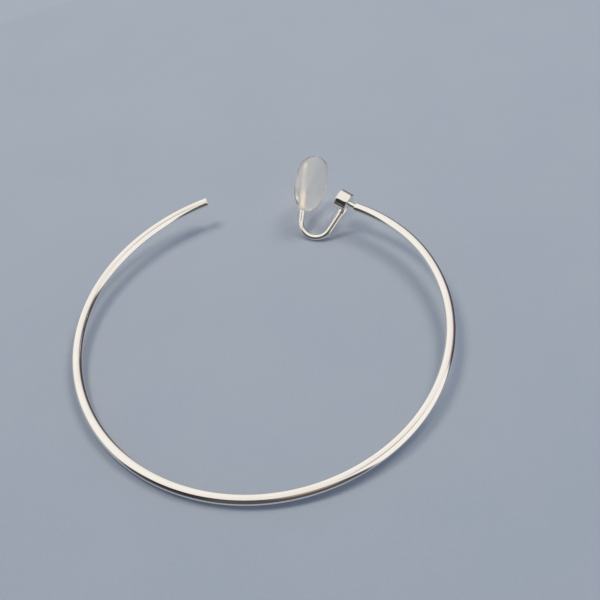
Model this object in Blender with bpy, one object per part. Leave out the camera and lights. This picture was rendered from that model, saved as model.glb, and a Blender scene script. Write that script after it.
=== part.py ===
"""Clip-on hoop earring, lying on a flat surface. Metres, +Z up.

Hoop frame: the hoop's centre line lies round the origin in the XY plane. +Y points to
the clip, as worn upwards, and +X points from the cushion to the barrel.
Clip frame: the origin is the barrel's middle, +X runs along its axis to the hoop, and
the U of the spring wire hangs down -Y in the XY plane.
"""
import math

import bmesh
import bpy
import numpy as np
from mathutils import Matrix, Vector

# Hoop: round wire bent to an open ring
HOOP_OUTER_DIAMETER = 0.0600
HOOP_WIRE_DIAMETER = 0.00155
HOOP_OPENING_DEG = 54.5         # arc left open between the two ends
CLIP_END_DEG = 90.0             # where the clip end stands, from +X
END_EASE_DEG = 36.0             # stretch over which each end leaves the circle
FREE_END_OUT = 0.00040          # the free end springs this far outwards
CLIP_END_IN = 0.00065           # the clip end is drawn this far inwards

# Barrel, with its neck and the peg that sits in the hoop
BARREL_DIAMETER = 0.0033
BARREL_LENGTH = 0.0022
BARREL_EDGE = 0.00014           # radius of its rounded edges
NECK_DIAMETER = 0.0009
NECK_LENGTH = 0.00135           # neck that shows between barrel and hoop
PEG_DEPTH = 0.0010
COLLAR_DIAMETER = 0.00124
COLLAR_HEIGHT = 0.00045         # how far the collar stands below the barrel

# How the clip sits on the hoop
CLIP_TURN_DEG = 38.0            # the U is turned this far out of the hoop's plane
CLIP_RISE_DEG = 11.0            # the barrel's axis rises this much towards the cushion

# Spring wire
SPRING_DIAMETER = 0.00090
SPRING_SEAT_DEPTH = 0.0010      # how far it goes into the barrel
SPRING_OFFSET = 0.00062         # its seat, from the barrel's middle towards the hoop
FRONT_LEG_LEAN_DEG = 5.5
BACK_LEG_SPLAY_DEG = 21.4
BEND_RADIUS = 0.00283
U_DEPTH = 0.00829               # from the barrel's axis to the wire at the U's lowest
BACK_LEG_LENGTH = 0.0096        # from the end of the bend to the paddle's tip
PADDLE_LENGTH = 0.0052
PADDLE_WIDTH = 0.0018
PADDLE_THICKNESS = 0.0004
PADDLE_TAPER = 0.0014           # stretch over which the wire is flattened
PADDLE_TWIST_DEG = 10.0         # the paddle is turned a little on its leg

# Silicone cushion
CUSHION_LENGTH = 0.0096
CUSHION_WIDTH = 0.0070
CUSHION_FRONT = 0.0032          # its thickness in front of the wire's middle
CUSHION_BACK = 0.0015           # and behind it
CUSHION_START = 0.00160         # wire that shows between the bend and the cushion

# Clearance wherever one piece sits in another
SEAT_GAP = 0.00008

# Fineness of the meshes
HOOP_STEPS = 104
HOOP_SIDES = 16
SPRING_SIDES = 14
BEND_STEPS = 16
TURNED_SIDES = 40
EDGE_STEPS = 3
CUSHION_SIDES = 36
CUSHION_LAYERS = 12

# Weights for the balance, in kg per cubic metre
METAL_DENSITY = 8500.0
SILICONE_DENSITY = 1150.0

HOOP_RADIUS = (HOOP_OUTER_DIAMETER - HOOP_WIRE_DIAMETER) / 2
SPRING_RADIUS = SPRING_DIAMETER / 2


def clear_scene():
    for old in list(bpy.data.objects):
        bpy.data.objects.remove(old, do_unlink=True)


def material(name, colour, metallic, roughness):
    made = bpy.data.materials.new(name)
    made.use_nodes = True
    shader = made.node_tree.nodes["Principled BSDF"]
    shader.inputs["Base Color"].default_value = (*colour, 1.0)
    shader.inputs["Metallic"].default_value = metallic
    shader.inputs["Roughness"].default_value = roughness
    return made


def skin(name, rings):
    """Closed body through rings of points; a ring of one point is a pole."""
    shape = bmesh.new()
    rows = [[shape.verts.new(point) for point in ring] for ring in rings]
    for low, high in zip(rows, rows[1:]):
        count = max(len(low), len(high))
        for i in range(count):
            j = (i + 1) % count
            corners = [low[i % len(low)], low[j % len(low)], high[j % len(high)], high[i % len(high)]]
            shape.faces.new(list(dict.fromkeys(corners)))
    for row in (rows[0], rows[-1]):
        if len(row) > 1:
            shape.faces.new(row)
    bmesh.ops.recalc_face_normals(shape, faces=shape.faces)
    mesh = bpy.data.meshes.new(name)
    shape.to_mesh(mesh)
    shape.free()
    mesh.shade_smooth()
    mesh.set_sharp_from_angle(angle=math.radians(40))
    return mesh


def place(name, mesh, parent, location=(0, 0, 0), rotation=(0, 0, 0), look=None):
    thing = bpy.data.objects.new(name, mesh)
    bpy.context.scene.collection.objects.link(thing)
    thing.parent = parent
    thing.location = location
    thing.rotation_euler = rotation
    if look:
        mesh.materials.append(look)
    else:
        thing.hide_render = True
        thing.display_type = "WIRE"
    return thing


def combine(body, tool, operation):
    step = body.modifiers.new(tool.name, "BOOLEAN")
    step.operation = operation
    step.object = tool
    step.solver = "EXACT"


def oval(centre, wide, thick, half_width, half_thickness, sides, squareness=2.0):
    """Ring of points; squareness 2 is an ellipse, and more is nearer a rectangle."""
    points = []
    for i in range(sides):
        turn = 2 * math.pi * i / sides
        c, s = math.cos(turn), math.sin(turn)
        across = math.copysign(abs(c) ** (2 / squareness), c) * half_width
        through = math.copysign(abs(s) ** (2 / squareness), s) * half_thickness
        points.append(centre + wide * across + thick * through)
    return points


def rod(name, start, end, radius, sides=TURNED_SIDES):
    along = (end - start).normalized()
    wide = along.orthogonal().normalized()
    thick = along.cross(wide)
    return skin(name, [oval(at, wide, thick, radius, radius, sides) for at in (start, end)])


# Hoop

def hoop_point(angle_deg, clip_end_deg, free_end_deg):
    """Point of the hoop's centre line; near its ends the wire leaves the circle."""
    to_clip = max(0.0, 1 - (clip_end_deg - angle_deg) / END_EASE_DEG)
    to_free = max(0.0, 1 - (angle_deg - free_end_deg) / END_EASE_DEG)
    radius = HOOP_RADIUS - CLIP_END_IN * to_clip ** 2 + FREE_END_OUT * to_free ** 2
    turn = math.radians(angle_deg)
    return Vector((radius * math.cos(turn), radius * math.sin(turn), 0))


def hoop_mesh():
    free_end_deg = CLIP_END_DEG - (360 - HOOP_OPENING_DEG)
    rings = []
    for i in range(HOOP_STEPS + 1):
        angle = CLIP_END_DEG + (free_end_deg - CLIP_END_DEG) * i / HOOP_STEPS
        centre = hoop_point(angle, CLIP_END_DEG, free_end_deg)
        radial = Vector((math.cos(math.radians(angle)), math.sin(math.radians(angle)), 0))
        wire_radius = HOOP_WIRE_DIAMETER / 2
        rings.append(oval(centre, radial, Vector((0, 0, 1)), wire_radius, wire_radius, HOOP_SIDES))
    return skin("hoop", rings), hoop_point(CLIP_END_DEG, CLIP_END_DEG, free_end_deg)


# Clip barrel

def barrel_mesh():
    """Turned about X: rounded barrel, then the neck and its peg towards the hoop."""
    half, radius = BARREL_LENGTH / 2, BARREL_DIAMETER / 2
    quarter = [math.pi / 2 * k / EDGE_STEPS for k in range(EDGE_STEPS + 1)]
    inset = half - BARREL_EDGE
    profile = [(-inset - BARREL_EDGE * math.cos(a), radius - BARREL_EDGE * (1 - math.sin(a))) for a in quarter]
    profile += [(-x, r) for x, r in reversed(profile)]
    neck = NECK_DIAMETER / 2
    profile += [(half, neck), (half + NECK_LENGTH + PEG_DEPTH, neck)]
    return skin("clip_barrel", [
        oval(Vector((x, 0, 0)), Vector((0, 1, 0)), Vector((0, 0, 1)), r, r, TURNED_SIDES) for x, r in profile])


# Spring wire, drawn in the XY plane of the clip frame

def spring_lines():
    """Seat, direction of the front leg, middle of the bend, its two ends, and the back leg."""
    lean, splay = math.radians(FRONT_LEG_LEAN_DEG), math.radians(BACK_LEG_SPLAY_DEG)
    down = Vector((-math.sin(lean), -math.cos(lean), 0))
    up = Vector((-math.sin(splay), math.cos(splay), 0))
    seat = Vector((SPRING_OFFSET, -BARREL_DIAMETER / 2, 0))
    bend_y = BEND_RADIUS - U_DEPTH
    bend_start_y = bend_y - BEND_RADIUS * math.sin(lean)
    bend_start = seat + down * ((bend_start_y - seat.y) / down.y)
    middle = bend_start + Vector((-math.cos(lean), math.sin(lean), 0)) * BEND_RADIUS
    bend_end = middle + Vector((-math.cos(splay), -math.sin(splay), 0)) * BEND_RADIUS
    return seat, down, middle, bend_start, bend_end, up


def paddle_axes(up, share=1.0):
    """Width and thickness directions of the back leg, turned by a share of the twist."""
    front = Vector((up.y, -up.x, 0))
    twist = Matrix.Rotation(-math.radians(PADDLE_TWIST_DEG) * share, 3, up)
    return twist @ Vector((0, 0, 1)), twist @ front


def back_leg_rings(start, up, first, last, extra):
    """Rings of the back leg between two distances from the bend, grown by extra."""
    flat_from = BACK_LEG_LENGTH - PADDLE_LENGTH
    marks = [first, flat_from]
    marks += [flat_from + PADDLE_TAPER * k / 4 for k in range(1, 5)]
    marks += [last - PADDLE_WIDTH / 2 * k for k in (1.0, 0.5, 0.15, 0.0)]
    rings = []
    for mark in marks:
        flat = min(1.0, max(0.0, (mark - flat_from) / PADDLE_TAPER))
        flat = flat * flat * (3 - 2 * flat)
        nose = min(1.0, max(0.0, 1 - (last - mark) / (PADDLE_WIDTH / 2)))
        width = SPRING_RADIUS + (PADDLE_WIDTH / 2 - SPRING_RADIUS) * flat
        width *= math.sqrt(1 - 0.8 * nose ** 2)
        thickness = SPRING_RADIUS + (PADDLE_THICKNESS / 2 - SPRING_RADIUS) * flat
        wide, front = paddle_axes(up, min(1.0, max(0.0, mark / flat_from)))
        rings.append(oval(start + up * mark, wide, front, width + extra, thickness + extra,
                          SPRING_SIDES, 2 + flat))
    return rings


def spring_mesh():
    seat, down, middle, bend_start, bend_end, up = spring_lines()
    across = Vector((0, 0, 1))
    round_rings = [(seat - down * SPRING_SEAT_DEPTH, down), (seat, down)]
    first = math.atan2(bend_start.y - middle.y, bend_start.x - middle.x)
    last = math.atan2(bend_end.y - middle.y, bend_end.x - middle.x)
    last -= 2 * math.pi if last > first else 0
    for k in range(BEND_STEPS + 1):
        turn = first + (last - first) * k / BEND_STEPS
        out = Vector((math.cos(turn), math.sin(turn), 0))
        round_rings.append((middle + out * BEND_RADIUS, Vector((out.y, -out.x, 0))))
    rings = [oval(at, across, Vector((along.y, -along.x, 0)), SPRING_RADIUS, SPRING_RADIUS, SPRING_SIDES)
             for at, along in round_rings]
    rings += back_leg_rings(bend_end, up, CUSHION_START / 2, BACK_LEG_LENGTH, 0.0)
    return skin("spring_wire", rings)


# Cushion

def cushion_mesh():
    """Oval pad: flat towards the lobe, domed behind, round at its rim."""
    *_, bend_end, up = spring_lines()
    wide, front = paddle_axes(up)
    thickness = CUSHION_FRONT + CUSHION_BACK
    centre = bend_end + up * (CUSHION_START + CUSHION_LENGTH / 2) + front * (CUSHION_FRONT - thickness / 2)
    rings = []
    for k in range(CUSHION_LAYERS + 1):
        level = -math.cos(math.pi * k / CUSHION_LAYERS)
        fullness = 3.0 if level > 0 else 2.3
        share = (1 - abs(level) ** fullness) ** (1 / fullness)
        at = centre + front * (level * thickness / 2)
        if share < 1e-4:
            rings.append([at])
        else:
            rings.append(oval(at, wide, up, share * CUSHION_WIDTH / 2, share * CUSHION_LENGTH / 2,
                              CUSHION_SIDES, 2.15))
    return skin("cushion", rings)


def pocket_mesh():
    *_, bend_end, up = spring_lines()
    return skin("cushion_pocket", back_leg_rings(bend_end, up, 0.0, BACK_LEG_LENGTH + SEAT_GAP, SEAT_GAP))


# Balance: how the finished earring lies by itself

def solid_points(thing):
    """Corner points of a piece in the hoop frame, with its volume and centre of mass."""
    seen = thing.evaluated_get(bpy.context.evaluated_depsgraph_get())
    mesh = seen.to_mesh()
    mesh.calc_loop_triangles()
    local = np.array([corner.co for corner in mesh.vertices])
    triangles = np.array([t.vertices for t in mesh.loop_triangles])
    seen.to_mesh_clear()
    pose = np.array(thing.matrix_world)
    points = local @ pose[:3, :3].T + pose[:3, 3]
    a, b, c = (points[triangles[:, i]] for i in range(3))
    volumes = np.einsum("ij,ij->i", a, np.cross(b, c)) / 6
    volume = volumes.sum()
    return points, volume, ((a + b + c) * volumes[:, None]).sum(axis=0) / 4 / volume


def turn_about(axis, angle):
    return np.array(Matrix.Rotation(angle, 3, Vector(axis)))


def tip_angle(points, pivot, axis, side):
    """Smallest turn about a level axis through the pivot that brings a point down to it."""
    away = (points - pivot) @ side
    height = points[:, 2] - pivot[2]
    free = away > 1e-7
    angles = np.arctan2(height[free], away[free])
    first = int(np.argmin(angles))
    return float(angles[first]), int(np.flatnonzero(free)[first])


def lying_rotation(points, balance):
    """Tip the earring from level until its balance point stands over three contacts."""
    total = np.eye(3)
    contacts = [int(np.argmin(points[:, 2]))]
    for _ in range(60):
        here, middle = points @ total.T, total @ balance
        if len(contacts) == 1:
            pivot = here[contacts[0]]
            side = middle - pivot
        else:
            pivot, other = here[contacts[0]], here[contacts[1]]
            edge = other - pivot
            side = np.array([-edge[1], edge[0], 0.0])
            side *= math.copysign(1.0, (middle - pivot) @ side)
        side[2] = 0.0
        side /= np.linalg.norm(side)
        axis = np.cross(side, [0.0, 0.0, -1.0])
        angle, reached = tip_angle(here, pivot, axis, side)
        total = turn_about(axis, angle) @ total
        contacts.append(reached)
        if len(contacts) < 3:
            continue
        here, middle = points @ total.T, total @ balance
        outside = None
        for i in range(3):
            a, b, c = (here[contacts[(i + k) % 3]][:2] for k in range(3))
            across = np.array([a[1] - b[1], b[0] - a[0]])
            if ((c - a) @ across) * ((middle[:2] - a) @ across) < 0:
                outside = [contacts[i], contacts[(i + 1) % 3]]
        if outside is None:
            return total
        contacts = outside
    return total


def main():
    clear_scene()
    hoop_silver = material("hoop_silver", (0.90, 0.89, 0.87), 1.0, 0.07)
    barrel_silver = material("barrel_silver", (0.90, 0.89, 0.87), 1.0, 0.08)
    spring_silver = material("spring_silver", (0.88, 0.87, 0.85), 1.0, 0.10)
    clear_silicone = material("silicone", (0.78, 0.80, 0.79), 0.0, 0.35)

    lying = bpy.data.objects.new("lying_pose", None)
    bpy.context.scene.collection.objects.link(lying)

    mesh, clip_end = hoop_mesh()
    hoop = place("hoop", mesh, lying, look=hoop_silver)

    turn, rise = math.radians(CLIP_TURN_DEG), math.radians(CLIP_RISE_DEG)
    clip_axis = Vector((math.cos(rise), 0, -math.sin(rise)))
    clip = dict(location=clip_end - clip_axis * (BARREL_LENGTH / 2 + NECK_LENGTH), rotation=(turn, rise, 0))
    barrel = place("clip_barrel", barrel_mesh(), lying, look=barrel_silver, **clip)
    spring = place("spring_wire", spring_mesh(), lying, look=spring_silver, **clip)
    cushion = place("cushion", cushion_mesh(), lying, look=clear_silicone, **clip)

    neck_start = BARREL_LENGTH / 2 + NECK_LENGTH
    bore = rod("peg_bore", Vector((neck_start - HOOP_WIRE_DIAMETER, 0, 0)),
               Vector((neck_start + PEG_DEPTH + SEAT_GAP, 0, 0)), NECK_DIAMETER / 2 + SEAT_GAP)
    combine(hoop, place("peg_bore", bore, lying, **clip), "DIFFERENCE")

    seat, down, *_ = spring_lines()
    collar = rod("collar", seat - down * COLLAR_DIAMETER / 2, seat + down * COLLAR_HEIGHT, COLLAR_DIAMETER / 2)
    combine(barrel, place("collar", collar, lying, **clip), "UNION")
    hole = rod("spring_hole", seat - down * (SPRING_SEAT_DEPTH + SEAT_GAP),
               seat + down * (COLLAR_HEIGHT + SPRING_DIAMETER), SPRING_RADIUS + SEAT_GAP)
    combine(barrel, place("spring_hole", hole, lying, **clip), "DIFFERENCE")

    combine(cushion, place("cushion_pocket", pocket_mesh(), lying, **clip), "DIFFERENCE")

    bpy.context.view_layer.update()
    densities = {hoop: METAL_DENSITY, barrel: METAL_DENSITY, spring: METAL_DENSITY, cushion: SILICONE_DENSITY}
    clouds, masses, middles = [], [], []
    for thing, density in densities.items():
        points, volume, middle = solid_points(thing)
        clouds.append(points)
        masses.append(volume * density)
        middles.append(middle)
    points = np.vstack(clouds)
    balance = np.average(middles, axis=0, weights=masses)
    rotation = lying_rotation(points, balance)
    lain = points @ rotation.T
    low, high = lain.min(axis=0), lain.max(axis=0)
    lying.rotation_euler = Matrix(rotation.tolist()).to_euler()
    lying.location = (-(low[0] + high[0]) / 2, -(low[1] + high[1]) / 2, -low[2])
    bpy.context.view_layer.update()


main()
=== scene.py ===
"""Looks of the clip-on hoop earring: smooth pieces, finishes, ground, light and camera.

Hoop frame: the hoop's centre line lies round the origin in the XY plane. +Y points to
the clip and +X from the cushion to the barrel. Clip frame: the origin is the barrel's
middle, +X runs along its axis to the hoop, and the U of the spring wire hangs down -Y.
LYING carries the hoop frame into the frame of the CAD. Metres throughout.
"""

import math

import bmesh
import bpy
import numpy as np
from mathutils import Euler, Matrix, Vector


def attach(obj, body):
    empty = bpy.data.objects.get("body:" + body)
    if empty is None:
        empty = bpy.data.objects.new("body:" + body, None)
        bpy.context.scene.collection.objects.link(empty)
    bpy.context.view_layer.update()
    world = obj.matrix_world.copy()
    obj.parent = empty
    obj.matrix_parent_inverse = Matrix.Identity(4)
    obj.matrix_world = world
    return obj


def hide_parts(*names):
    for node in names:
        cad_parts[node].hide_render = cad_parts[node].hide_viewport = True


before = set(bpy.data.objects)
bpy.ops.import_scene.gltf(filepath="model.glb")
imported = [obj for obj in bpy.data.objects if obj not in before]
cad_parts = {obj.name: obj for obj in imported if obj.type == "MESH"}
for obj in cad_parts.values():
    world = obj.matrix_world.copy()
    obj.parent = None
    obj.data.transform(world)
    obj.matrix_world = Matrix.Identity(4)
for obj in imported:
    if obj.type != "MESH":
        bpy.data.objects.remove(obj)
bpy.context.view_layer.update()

# Sizes shared with the CAD
HOOP_RADIUS = 0.029225
HOOP_WIRE_RADIUS = 0.000775
HOOP_OPENING_DEG = 54.5
CLIP_END_DEG = 90.0
FREE_END_DEG = CLIP_END_DEG - (360 - HOOP_OPENING_DEG)
END_EASE_DEG = 36.0
FREE_END_OUT = 0.00040
CLIP_END_IN = 0.00065
BARREL_RADIUS = 0.00165
BARREL_LENGTH = 0.0022
BARREL_EDGE = 0.00014
NECK_RADIUS = 0.00045
NECK_LENGTH = 0.00135
PEG_DEPTH = 0.0010
COLLAR_RADIUS = 0.00062
COLLAR_HEIGHT = 0.00045
CLIP_TURN_DEG = 38.0
CLIP_RISE_DEG = 11.0
SPRING_RADIUS = 0.00045
SPRING_SEAT_DEPTH = 0.0010
SPRING_OFFSET = 0.00062
FRONT_LEG_LEAN_DEG = 5.5
BACK_LEG_SPLAY_DEG = 21.4
BEND_RADIUS = 0.00283
U_DEPTH = 0.00829
BACK_LEG_LENGTH = 0.0096
PADDLE_LENGTH = 0.0052
PADDLE_WIDTH = 0.0018
PADDLE_THICKNESS = 0.0004
PADDLE_TAPER = 0.0014
PADDLE_TWIST_DEG = 10.0
CUSHION_LENGTH = 0.0096
CUSHION_WIDTH = 0.0070
CUSHION_FRONT = 0.0032
CUSHION_BACK = 0.0015
CUSHION_START = 0.00160
SEAT_GAP = 0.00008

# Finer forms of the visible pieces
HOOP_EDGE = 0.00007             # rounding of the wire's ends
NECK_FILLET = 0.00012
BORE_LEAD = 0.0008              # how far the bore's cutter starts before the wire's end
COLLAR_LIP = 0.00008            # rounding of the collar's rim
BEND_TO_LEG = 0.0002            # from the bend's end to the back leg's first ring
NOSE_NARROWING = 0.8            # how much of its squared width the paddle loses to its tip
NOSE_THINNING = 0.6             # the same for its thickness
CUSHION_WEDGE = 0.00050         # fuller towards the free end of the wire
CUSHION_SQUARENESS = 2.15       # of the outline; 2 is an ellipse
FRONT_FULLNESS = 3.0            # how long the side keeps its width towards the front face
BACK_FULLNESS = 2.3
SEAM_RISE = 0.006               # share by which the moulding seam stands out
SEAM_WIDTH = 0.035              # share of the thickness over which it does
SHARP_DEG = 32.0                # cut edges steeper than this stay crisp

LYING = Matrix((
    (0.999771953, 0.000813883, 0.021339418, 0.000002695),
    (0.000680730, 0.997551024, -0.069939308, -0.001237949),
    (-0.021344081, 0.069937885, 0.997322977, 0.002909226),
    (0, 0, 0, 1)))

# Camera at the photo's place and angle
CAMERA_AT = (0.05654, -0.06045, 0.09816)
CAMERA_RIGHT = (0.82653, 0.55715, -0.08019)
CAMERA_UP = (-0.37286, 0.64863, 0.66352)
CAMERA_AHEAD = (-0.42169, 0.51852, -0.74385)
LENS_MM = 48.0
SENSOR_MM = 36.0

X, Y, Z = np.eye(3)


# Shapes

def ring(centre, wide, thick, half_width, half_thickness, sides, squareness=2.0):
    """Points of an ellipse, or of a squarer one, across two directions."""
    turn = np.linspace(0, 2 * np.pi, sides, endpoint=False)
    c, s = np.cos(turn), np.sin(turn)
    across = np.sign(c) * np.abs(c) ** (2 / squareness) * half_width
    through = np.sign(s) * np.abs(s) ** (2 / squareness) * half_thickness
    return centre + np.outer(across, wide) + np.outer(through, thick)


def skin(name, rings, round_mm=1.0):
    """Closed smooth body through rings, with a map in millimetres: along, and round."""
    rings = np.array(rings)
    count, sides = rings.shape[:2]
    steps = np.linalg.norm(np.diff(rings.mean(axis=1), axis=0), axis=1)
    distances = np.concatenate([[0], np.cumsum(steps)])
    points = np.vstack([rings.reshape(-1, 3), rings[0].mean(axis=0), rings[-1].mean(axis=0)])
    faces, marks = [], []
    for i in range(count - 1):
        for j in range(sides):
            k = (j + 1) % sides
            faces.append((i * sides + j, i * sides + k, (i + 1) * sides + k, (i + 1) * sides + j))
            marks += [(i, j), (i, j + 1), (i + 1, j + 1), (i + 1, j)]
    for at, pole in ((0, count * sides), (count - 1, count * sides + 1)):
        for j in range(sides):
            faces.append((at * sides + j, at * sides + (j + 1) % sides, pole))
            marks += [(at, j), (at, j + 1), (at, j)]
    mesh = bpy.data.meshes.new(name)
    mesh.from_pydata(points.tolist(), [], faces)
    layer = mesh.uv_layers.new(name="along_round")
    marks = np.array(marks)
    flat = np.column_stack([distances[marks[:, 0]] * 1000, marks[:, 1] / sides * round_mm])
    layer.data.foreach_set("uv", flat.astype(np.float32).ravel())
    shape = bmesh.new()
    shape.from_mesh(mesh)
    bmesh.ops.recalc_face_normals(shape, faces=shape.faces)
    shape.to_mesh(mesh)
    shape.free()
    mesh.shade_smooth()
    return mesh


def add(name, mesh, place):
    """Object whose mesh is carried into the frame of the CAD."""
    mesh.transform(place)
    piece = bpy.data.objects.new(name, mesh)
    bpy.context.scene.collection.objects.link(piece)
    return piece


def cut(piece, tool, operation="DIFFERENCE"):
    """Boolean of two bodies, worked out at once; the tool is used up."""
    step = piece.modifiers.new("cut", "BOOLEAN")
    step.operation = operation
    step.solver = "EXACT"
    step.object = tool
    bpy.context.view_layer.update()
    seen = piece.evaluated_get(bpy.context.evaluated_depsgraph_get())
    mesh = bpy.data.meshes.new_from_object(seen)
    piece.modifiers.clear()
    piece.data = mesh
    bpy.data.objects.remove(tool, do_unlink=True)
    mesh.shade_smooth()
    mesh.set_sharp_from_angle(angle=math.radians(SHARP_DEG))


def rounded_end(radius, edge):
    """(how far in from the end, radius) from the end face's middle out to the full wire."""
    quarter = np.linspace(0, np.pi / 2, 5)
    rows = [(0.0, radius * 0.45), (0.0, radius * 0.8)]
    return rows + [(edge * (1 - math.sin(a)), radius - edge * (1 - math.cos(a))) for a in quarter[::-1]]


def hoop_centre(angle_deg):
    """Point of the hoop's centre line, which leaves the circle a little towards its ends."""
    to_clip = max(0.0, 1 - (CLIP_END_DEG - angle_deg) / END_EASE_DEG)
    to_free = max(0.0, 1 - (angle_deg - FREE_END_DEG) / END_EASE_DEG)
    radius = HOOP_RADIUS - CLIP_END_IN * to_clip ** 2 + FREE_END_OUT * to_free ** 2
    turn = math.radians(angle_deg)
    return np.array([radius * math.cos(turn), radius * math.sin(turn), 0])


CLIP_AXIS = np.array([math.cos(math.radians(CLIP_RISE_DEG)), 0, -math.sin(math.radians(CLIP_RISE_DEG))])
CLIP_AT = hoop_centre(CLIP_END_DEG) - CLIP_AXIS * (BARREL_LENGTH / 2 + NECK_LENGTH)
CLIP_PLACE = LYING @ Matrix.Translation(CLIP_AT.tolist()) @ Euler(
    (math.radians(CLIP_TURN_DEG), math.radians(CLIP_RISE_DEG), 0)).to_matrix().to_4x4()


def build_hoop():
    sides, steps = 48, 560
    degree = math.radians(1) * HOOP_RADIUS
    end = rounded_end(HOOP_WIRE_RADIUS, HOOP_EDGE)
    stations = [(CLIP_END_DEG - depth / degree, r) for depth, r in end]
    body = np.linspace(CLIP_END_DEG - HOOP_EDGE / degree, FREE_END_DEG + HOOP_EDGE / degree, steps)[1:-1]
    stations += [(angle, HOOP_WIRE_RADIUS) for angle in body]
    stations += [(FREE_END_DEG + depth / degree, r) for depth, r in reversed(end)]
    rings = []
    for angle, radius in stations:
        turn = math.radians(angle)
        rings.append(ring(hoop_centre(angle), np.array([math.cos(turn), math.sin(turn), 0]), Z,
                          radius, radius, sides))
    hoop = add("hoop_polished", skin("hoop_polished", rings, round_mm=4.87), LYING)
    start = BARREL_LENGTH / 2 + NECK_LENGTH
    bore = [ring(X * x, Y, Z, NECK_RADIUS + SEAT_GAP, NECK_RADIUS + SEAT_GAP, 48)
            for x in (start - BORE_LEAD, start + PEG_DEPTH + SEAT_GAP)]
    cut(hoop, add("bore", skin("bore", bore), CLIP_PLACE))
    return hoop


def build_barrel():
    half = BARREL_LENGTH / 2
    quarter = np.linspace(0, np.pi / 2, 7)
    profile = [(-half, BARREL_RADIUS * share) for share in (0.3, 0.6, 0.85)]
    inset, rim = half - BARREL_EDGE, BARREL_RADIUS - BARREL_EDGE
    profile += [(-inset - BARREL_EDGE * math.cos(a), rim + BARREL_EDGE * math.sin(a)) for a in quarter]
    profile += [(x, BARREL_RADIUS) for x in (-inset / 2, 0.0, inset / 2)]
    profile += [(inset + BARREL_EDGE * math.cos(a), rim + BARREL_EDGE * math.sin(a)) for a in quarter[::-1]]
    profile += [(half, BARREL_RADIUS * 0.8), (half, BARREL_RADIUS * 0.6)]
    profile += [(half + NECK_FILLET * (1 - math.cos(a)), NECK_RADIUS + NECK_FILLET * (1 - math.sin(a)))
                for a in quarter]
    profile += [(half + NECK_LENGTH * share, NECK_RADIUS) for share in (0.3, 0.6, 0.95)]
    profile += [(half + NECK_LENGTH + PEG_DEPTH, NECK_RADIUS)]
    rings = [ring(X * x, Y, Z, r, r, 96) for x, r in profile]
    barrel = add("clip_barrel_polished", skin("clip_barrel_polished", rings, round_mm=10.4), CLIP_PLACE)

    seat, down, *_ = spring_lines()
    wide, thick = np.array([-down[1], down[0], 0]), Z
    profile = [(-COLLAR_RADIUS, COLLAR_RADIUS), (0.0, COLLAR_RADIUS)]
    level, rim = COLLAR_HEIGHT - COLLAR_LIP, COLLAR_RADIUS - COLLAR_LIP
    profile += [(level + COLLAR_LIP * math.sin(a), rim + COLLAR_LIP * math.cos(a)) for a in quarter]
    collar = [ring(seat + down * s, wide, thick, r, r, 56) for s, r in profile]
    cut(barrel, add("collar", skin("collar", collar), CLIP_PLACE), "UNION")
    hole = [ring(seat + down * s, wide, thick, SPRING_RADIUS + SEAT_GAP, SPRING_RADIUS + SEAT_GAP, 56)
            for s in (-SPRING_SEAT_DEPTH - SEAT_GAP, COLLAR_HEIGHT + SPRING_RADIUS)]
    cut(barrel, add("hole", skin("hole", hole), CLIP_PLACE))
    return barrel


def spring_lines():
    """Seat, direction of the front leg, middle of the bend, its two ends, and the back leg."""
    lean, splay = math.radians(FRONT_LEG_LEAN_DEG), math.radians(BACK_LEG_SPLAY_DEG)
    down = np.array([-math.sin(lean), -math.cos(lean), 0])
    up = np.array([-math.sin(splay), math.cos(splay), 0])
    seat = np.array([SPRING_OFFSET, -BARREL_RADIUS, 0])
    bend_y = BEND_RADIUS - U_DEPTH
    bend_start = seat + down * ((bend_y - BEND_RADIUS * math.sin(lean) - seat[1]) / down[1])
    middle = bend_start + np.array([-math.cos(lean), math.sin(lean), 0]) * BEND_RADIUS
    bend_end = middle + np.array([-math.cos(splay), -math.sin(splay), 0]) * BEND_RADIUS
    return seat, down, middle, bend_start, bend_end, up


def paddle_axes(up, share=1.0):
    """Width and front of the back leg once it has made this share of its twist."""
    front = Vector((up[1], -up[0], 0))
    twist = Matrix.Rotation(-math.radians(PADDLE_TWIST_DEG) * share, 3, Vector(up))
    return np.array(twist @ Vector((0, 0, 1))), np.array(twist @ front)


def back_leg(start, up, first, last, extra, sides):
    """Rings of the leg and its paddle, or of the pocket for them when extra is added."""
    flat_from = BACK_LEG_LENGTH - PADDLE_LENGTH
    flat_at = flat_from + PADDLE_TAPER
    half = PADDLE_WIDTH / 2
    marks = np.concatenate([np.linspace(first, flat_from, 12),
                            np.linspace(flat_from, flat_at, 12)[1:],
                            np.linspace(flat_at, last - half, 10)[1:],
                            last - half * np.cos(np.linspace(0, np.pi / 2, 12))[1:]])
    rings = []
    for mark in marks:
        flat = min(1.0, max(0.0, (mark - flat_from) / PADDLE_TAPER))
        flat = flat * flat * (3 - 2 * flat)
        nose = min(1.0, max(0.0, 1 - (last - mark) / half))
        width = SPRING_RADIUS + (half - SPRING_RADIUS) * flat
        width *= math.sqrt(1 - NOSE_NARROWING * nose ** 2)
        thickness = SPRING_RADIUS + (PADDLE_THICKNESS / 2 - SPRING_RADIUS) * flat
        thickness *= math.sqrt(1 - NOSE_THINNING * nose ** 4)
        wide, front = paddle_axes(up, min(1.0, max(0.0, mark / flat_from)))
        rings.append(ring(start + up * mark, wide, front, width + extra, thickness + extra, sides, 2 + flat))
    return rings


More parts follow.
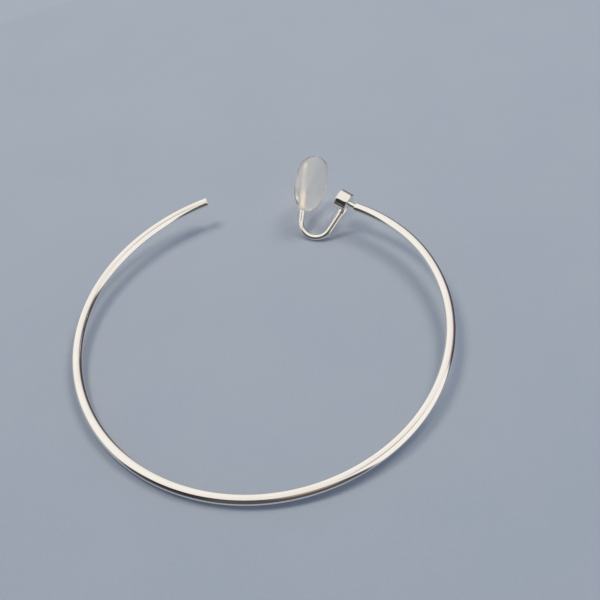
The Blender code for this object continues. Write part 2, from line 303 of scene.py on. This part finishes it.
def build_spring():
    sides = 36
    seat, down, middle, bend_start, bend_end, up = spring_lines()
    length = np.linalg.norm(bend_start - seat)
    across = np.array([down[1], -down[0], 0])
    rings = [ring(seat + down * s, Z, across, SPRING_RADIUS, SPRING_RADIUS, sides)
             for s in np.linspace(-SPRING_SEAT_DEPTH, length, 24)[:-1]]
    first = math.atan2(bend_start[1] - middle[1], bend_start[0] - middle[0])
    last = math.atan2(bend_end[1] - middle[1], bend_end[0] - middle[0])
    last -= 2 * math.pi if last > first else 0
    for turn in np.linspace(first, last, 72):
        out = np.array([math.cos(turn), math.sin(turn), 0])
        rings.append(ring(middle + out * BEND_RADIUS, Z, -out, SPRING_RADIUS, SPRING_RADIUS, sides))
    rings += back_leg(bend_end, up, BEND_TO_LEG, BACK_LEG_LENGTH, 0.0, sides)
    return add("spring_wire_bright", skin("spring_wire_bright", rings, round_mm=2.83), CLIP_PLACE)


def build_cushion():
    sides, layers = 128, 64
    *_, bend_end, up = spring_lines()
    wide, front = paddle_axes(up)
    thickness = CUSHION_FRONT + CUSHION_BACK
    centre = bend_end + up * (CUSHION_START + CUSHION_LENGTH / 2) + front * (CUSHION_FRONT - thickness / 2)
    rings = []
    for k in range(1, layers):
        level = -math.cos(math.pi * k / layers)
        fullness = FRONT_FULLNESS if level > 0 else BACK_FULLNESS
        share = (1 - abs(level) ** fullness) ** (1 / fullness)
        seam = 1 + SEAM_RISE * math.exp(-((level / SEAM_WIDTH) ** 2))
        layer = ring(centre + front * (level * thickness / 2), wide, up, share * seam * CUSHION_WIDTH / 2,
                     share * seam * CUSHION_LENGTH / 2, sides, CUSHION_SQUARENESS)
        along = (layer - centre) @ up / (CUSHION_LENGTH / 2)
        rings.append(layer + np.outer(along * (level + 1) / 2 * CUSHION_WEDGE, front))
    cushion = add("cushion_silicone", skin("cushion_silicone", rings, round_mm=26.0), CLIP_PLACE)
    pocket = back_leg(bend_end, up, 0.0, BACK_LEG_LENGTH + SEAT_GAP, SEAT_GAP, 40)
    cut(cushion, add("pocket", skin("pocket", pocket), CLIP_PLACE))
    return cushion


# Finishes

class Finish:
    """Material with its nodes made by short calls."""

    def __init__(self, name):
        self.material = bpy.data.materials.new(name)
        self.material.use_nodes = True
        self.tree = self.material.node_tree
        self.shader = self.tree.nodes["Principled BSDF"]

    def node(self, kind, **settings):
        made = self.tree.nodes.new(kind)
        for key, value in settings.items():
            if hasattr(made, key):
                setattr(made, key, value)
            else:
                made.inputs[key.replace("_", " ")].default_value = value
        return made

    def link(self, source, target):
        self.tree.links.new(source, target)

    def place(self, output, scale):
        coords = self.node("ShaderNodeTexCoord")
        mapping = self.node("ShaderNodeMapping")
        mapping.inputs["Scale"].default_value = scale
        self.link(coords.outputs[output], mapping.inputs["Vector"])
        return mapping.outputs["Vector"]

    def noise(self, where, scale, detail, roughness):
        made = self.node("ShaderNodeTexNoise", Scale=scale, Detail=detail, Roughness=roughness)
        self.link(where, made.inputs["Vector"])
        return made.outputs["Fac"]

    def spread(self, value, low, high, to_low, to_high):
        made = self.node("ShaderNodeMapRange", interpolation_type="SMOOTHSTEP")
        for name, number in zip(("From Min", "From Max", "To Min", "To Max"), (low, high, to_low, to_high)):
            made.inputs[name].default_value = number
        self.link(value, made.inputs["Value"])
        return made.outputs["Result"]

    def sum(self, one, two):
        made = self.node("ShaderNodeMath", operation="ADD")
        self.link(one, made.inputs[0])
        self.link(two, made.inputs[1])
        return made.outputs["Value"]

    def mix(self, share, one, two):
        made = self.node("ShaderNodeMix", data_type="RGBA")
        self.link(share, made.inputs[0])
        for slot, value in ((made.inputs[6], one), (made.inputs[7], two)):
            if isinstance(value, tuple):
                slot.default_value = (*value, 1.0)
            else:
                self.link(value, slot)
        return made.outputs[2]

    def bump(self, height, distance, strength=1.0, under=None):
        made = self.node("ShaderNodeBump", Strength=strength, Distance=distance)
        self.link(height, made.inputs["Height"])
        if under:
            self.link(under, made.inputs["Normal"])
        return made.outputs["Normal"]


def polished_metal(name, colour, tarnish, roughness, streaks):
    """Plated silver: drawn along the wire, polished, with faint handling marks."""
    made = Finish(name)
    shader = made.shader
    shader.inputs["Metallic"].default_value = 1.0
    along = made.place("UV", (0.35, 9.0, 1.0))
    body = made.place("Object", (1.0, 1.0, 1.0))
    drawn = made.noise(along, 3.0, 4.0, 0.6)
    smudge = made.noise(body, 420.0, 3.0, 0.6)
    waver = made.noise(body, 260.0, 1.0, 0.4)
    cloud = made.noise(body, 150.0, 2.0, 0.5)
    tone = made.mix(made.spread(cloud, 0.42, 0.72, 0.0, 1.0), colour, tarnish)
    made.link(tone, shader.inputs["Base Color"])
    rough = made.spread(smudge, 0.38, 0.74, roughness * 0.75, roughness * 1.9)
    rough = made.sum(rough, made.spread(drawn, 0.5, 0.8, 0.0, 0.03))
    made.link(rough, shader.inputs["Roughness"])
    low = made.bump(waver, 0.000006)
    made.link(made.bump(drawn, streaks, under=low), shader.inputs["Normal"])
    return made.material


def silicone(name):
    """Milky clear silicone: satin moulded skin, a cloudy body and a few specks."""
    made = Finish(name)
    shader = made.shader
    body = made.place("Object", (1.0, 1.0, 1.0))
    cloud = made.noise(body, 320.0, 3.0, 0.6)
    speck = made.noise(body, 2100.0, 1.0, 0.3)
    tone = made.mix(made.spread(cloud, 0.35, 0.7, 0.0, 1.0), (0.965, 0.92, 0.865), (0.99, 0.955, 0.905))
    tone = made.mix(made.spread(speck, 0.74, 0.80, 0.0, 0.35), tone, (0.72, 0.70, 0.67))
    made.link(tone, shader.inputs["Base Color"])
    shader.inputs["IOR"].default_value = 1.18    # low, so the paddle shows through the curved skin
    shader.inputs["Transmission Weight"].default_value = 0.84
    shader.inputs["Subsurface Weight"].default_value = 1.0
    shader.inputs["Subsurface Radius"].default_value = (1.0, 1.0, 1.0)
    shader.inputs["Subsurface Scale"].default_value = 0.0008
    made.link(made.spread(cloud, 0.35, 0.7, 0.015, 0.035), shader.inputs["Roughness"])
    skin_grain = made.noise(body, 5200.0, 3.0, 0.6)
    made.link(made.bump(skin_grain, 0.000004, under=made.bump(cloud, 0.00002)), shader.inputs["Normal"])
    return made.material


def ground(name):
    """Matte pale blue-grey paper with a fine tooth and faint flecks."""
    made = Finish(name)
    shader = made.shader
    body = made.place("Object", (1.0, 1.0, 1.0))
    cloud = made.noise(body, 45.0, 4.0, 0.6)
    grain = made.noise(body, 1900.0, 3.0, 0.7)
    fleck = made.noise(body, 900.0, 2.0, 0.5)
    tooth = made.noise(body, 2600.0, 4.0, 0.65)
    tone = made.mix(made.spread(cloud, 0.3, 0.7, 0.0, 1.0), (0.400, 0.446, 0.518), (0.416, 0.460, 0.528))
    tone = made.mix(made.spread(grain, 0.30, 0.70, 0.0, 0.16), tone, (0.315, 0.360, 0.450))
    tone = made.mix(made.spread(fleck, 0.70, 0.78, 0.0, 0.15), tone, (0.26, 0.30, 0.36))
    made.link(tone, shader.inputs["Base Color"])
    shader.inputs["Roughness"].default_value = 0.85
    shader.inputs["Specular IOR Level"].default_value = 0.25
    made.link(made.bump(tooth, 0.00004, 0.6), shader.inputs["Normal"])
    return made.material


hoop = build_hoop()
barrel = build_barrel()
spring = build_spring()
cushion = build_cushion()

SILVER = (0.95, 0.935, 0.915)
BRIGHT_STEEL = (0.95, 0.935, 0.905)
WARM = (0.92, 0.90, 0.87)
looks = (
    (hoop, "hoop", "hoop_silver",
     polished_metal("hoop_silver_look", SILVER, WARM, roughness=0.055, streaks=0.0000009)),
    (barrel, "clip_barrel", "barrel_silver",
     polished_metal("barrel_silver_look", SILVER, WARM, roughness=0.06, streaks=0.0000006)),
    (spring, "spring_wire", "spring_silver",
     polished_metal("spring_silver_look", BRIGHT_STEEL, WARM, roughness=0.08, streaks=0.0000012)),
    (cushion, "cushion", "silicone", silicone("silicone_look")),
)
for piece, node, slot, look in looks:
    piece.data.materials.clear()
    piece.data.materials.append(look)
    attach(piece, "root")
    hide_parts(node)

GROUND_REACH = 3
ground_corners = ((-GROUND_REACH, -GROUND_REACH, 0), (GROUND_REACH, -GROUND_REACH, 0),
                  (GROUND_REACH, GROUND_REACH, 0), (-GROUND_REACH, GROUND_REACH, 0))
floor_mesh = bpy.data.meshes.new("ground")
floor_mesh.from_pydata(ground_corners, [], [(0, 1, 2, 3)])
floor = bpy.data.objects.new("ground", floor_mesh)
bpy.context.scene.collection.objects.link(floor)
floor_mesh.materials.append(ground("ground_look"))
floor.visible_glossy = False    # the dome's lower half stands for it in the metal


# Studio: a wide pale dome with darker openings, painted ground below the horizon, and two soft lights

class Dome:
    """World shader put together from soft-edged panels, each set by its corners."""

    def __init__(self, colour):
        self.world = bpy.data.worlds.new("studio")
        self.world.use_nodes = True
        bpy.context.scene.world = self.world
        self.tree = self.world.node_tree
        self.tree.nodes.clear()
        self.ahead = self.tree.nodes.new("ShaderNodeTexCoord").outputs["Generated"]
        self.colour = colour

    def half(self, across, soft):
        """Share of a direction that lies on the side of a plane through the middle."""
        dot = self.tree.nodes.new("ShaderNodeVectorMath")
        dot.operation = "DOT_PRODUCT"
        dot.inputs[1].default_value = across
        self.tree.links.new(self.ahead, dot.inputs[0])
        made = self.tree.nodes.new("ShaderNodeMapRange")
        made.interpolation_type = "SMOOTHSTEP"
        reach = math.sin(math.radians(soft / 2))
        made.inputs["From Min"].default_value = -reach
        made.inputs["From Max"].default_value = reach
        self.tree.links.new(dot.outputs["Value"], made.inputs["Value"])
        return made.outputs["Result"]

    def paint(self, colour, share):
        mix = self.tree.nodes.new("ShaderNodeMix")
        mix.data_type = "RGBA"
        self.tree.links.new(share, mix.inputs[0])
        if isinstance(self.colour, tuple):
            mix.inputs[6].default_value = (*self.colour, 1)
        else:
            self.tree.links.new(self.colour, mix.inputs[6])
        mix.inputs[7].default_value = (*colour, 1)
        self.colour = mix.outputs[2]

    def panel(self, colour, corners, soft):
        """Panel by its corners in degrees: azimuth from +Y to +X, and elevation."""
        points = [Euler((math.radians(rise), 0, -math.radians(turn))).to_matrix() @ Vector((0, 1, 0))
                  for turn, rise in corners]
        middle = sum(points, Vector())
        share = None
        for one, two in zip(points, points[1:] + points[:1]):
            across = one.cross(two).normalized()
            side = self.half(across if across.dot(middle) > 0 else -across, soft)
            if share:
                both = self.tree.nodes.new("ShaderNodeMath")
                both.operation = "MULTIPLY"
                self.tree.links.new(share, both.inputs[0])
                self.tree.links.new(side, both.inputs[1])
                side = both.outputs[0]
            share = side
        self.paint(colour, share)

    def finish(self, backdrop, fill, through, through_power):
        """Dome in reflections, and a plain tone each for the camera, matt things and clear ones."""
        rays = self.tree.nodes.new("ShaderNodeLightPath")
        shader = None
        for colour, power, ray in ((self.colour, 1.0, None), (fill, 1.0, "Is Diffuse Ray"),
                                   (through, through_power, "Is Transmission Ray"),
                                   (backdrop, 1.0, "Is Camera Ray")):
            light = self.tree.nodes.new("ShaderNodeBackground")
            light.inputs["Strength"].default_value = power
            if isinstance(colour, tuple):
                light.inputs["Color"].default_value = (*colour, 1)
            else:
                self.tree.links.new(colour, light.inputs["Color"])
            if shader:
                both = self.tree.nodes.new("ShaderNodeMixShader")
                self.tree.links.new(rays.outputs[ray], both.inputs[0])
                self.tree.links.new(shader, both.inputs[1])
                self.tree.links.new(light.outputs[0], both.inputs[2])
                light = both
            shader = light.outputs[0]
        out = self.tree.nodes.new("ShaderNodeOutputWorld")
        self.tree.links.new(shader, out.inputs["Surface"])


LOWER = (0.34, 0.375, 0.42)      # tone of the half below
dome = Dome((0.89, 0.85, 0.805))
dome.panel((0.96, 0.93, 0.87), [(-140, 10), (-150, 60), (-35, 60), (-40, 10)], 20)
dome.paint(LOWER, dome.half((0, 0, -1), 14))
# Below the horizon these panels stand in the metal for the ground: the dark ones are painted shade on the
# ground near the wire, the bright one on the right a painted sheen of the ground
dome.panel((0.40, 0.365, 0.36), [(-30, -36), (-28, 20), (5, 34), (43, 42), (43, -36)], 14)
dome.panel((0.075, 0.062, 0.068), [(-27, -34), (-25, 11), (-5, 15), (18, 21), (43, 28), (44, -34)], 9)
dome.panel((0.33, 0.29, 0.245),
           [(44, 34), (58, 44), (86, 49), (112, 42), (114, 60), (86, 71), (58, 63), (42, 46)], 14)
dome.panel((0.96, 0.92, 0.87),
           [(46, -50), (44, 36), (60, 46), (86, 49), (110, 32), (104, 0), (99, -25), (80, -50)], 7)
dome.panel((0.085, 0.08, 0.08),
           [(90, -45), (104, 8), (113, 30), (122, 41), (150, 51), (180, 49), (200, 34), (219, 0),
            (222, -40)], 10)
dome.panel((0.33, 0.265, 0.21), [(117, 12), (116, 38), (128, 46), (148, 53), (150, 34), (138, 18)], 10)
dome.panel((0.03, 0.03, 0.034), [(176, -15), (176, 42), (204, 30), (212, 0)], 12)
dome.panel(LOWER,
           [(100, -38), (130, -36), (160, -36), (190, -36), (220, -38), (220, -88), (100, -88)], 10)
dome.finish(backdrop=(0.40, 0.44, 0.49), fill=(0.25, 0.31, 0.42),
            through=(0.97, 0.94, 0.88), through_power=1.15)


def softbox(name, azimuth, elevation, distance, size, energy, colour):
    """Soft light that faces the object and stays out of reflections."""
    data = bpy.data.lights.new(name, "AREA")
    data.shape = "RECTANGLE"
    data.size, data.size_y = size
    data.energy, data.color = energy, colour
    light = bpy.data.objects.new(name, data)
    bpy.context.scene.collection.objects.link(light)
    turn, rise = math.radians(azimuth), math.radians(elevation)
    light.location = Vector((math.sin(turn) * math.cos(rise), math.cos(turn) * math.cos(rise),
                             math.sin(rise))) * distance
    light.rotation_euler = (-light.location).to_track_quat("-Z", "Y").to_euler()
    light.visible_glossy = False


softbox("key", -90, 64, 0.42, (0.13, 0.13), 0.59, (1.0, 0.895, 0.72))
softbox("back_panel", 12, 57, 0.55, (0.22, 0.22), 1.06, (1.0, 0.93, 0.80))

camera_data = bpy.data.cameras.new("camera")
camera_data.lens = LENS_MM
camera_data.sensor_width = SENSOR_MM
camera_data.clip_start = 0.001
camera_data.clip_end = 20.0
camera = bpy.data.objects.new("camera", camera_data)
bpy.context.scene.collection.objects.link(camera)
turned = Matrix((CAMERA_RIGHT, CAMERA_UP, [-v for v in CAMERA_AHEAD])).transposed()
camera.matrix_world = Matrix.Translation(CAMERA_AT) @ turned.to_4x4()
bpy.context.scene.camera = camera

bpy.context.scene.view_settings.view_transform = "Standard"
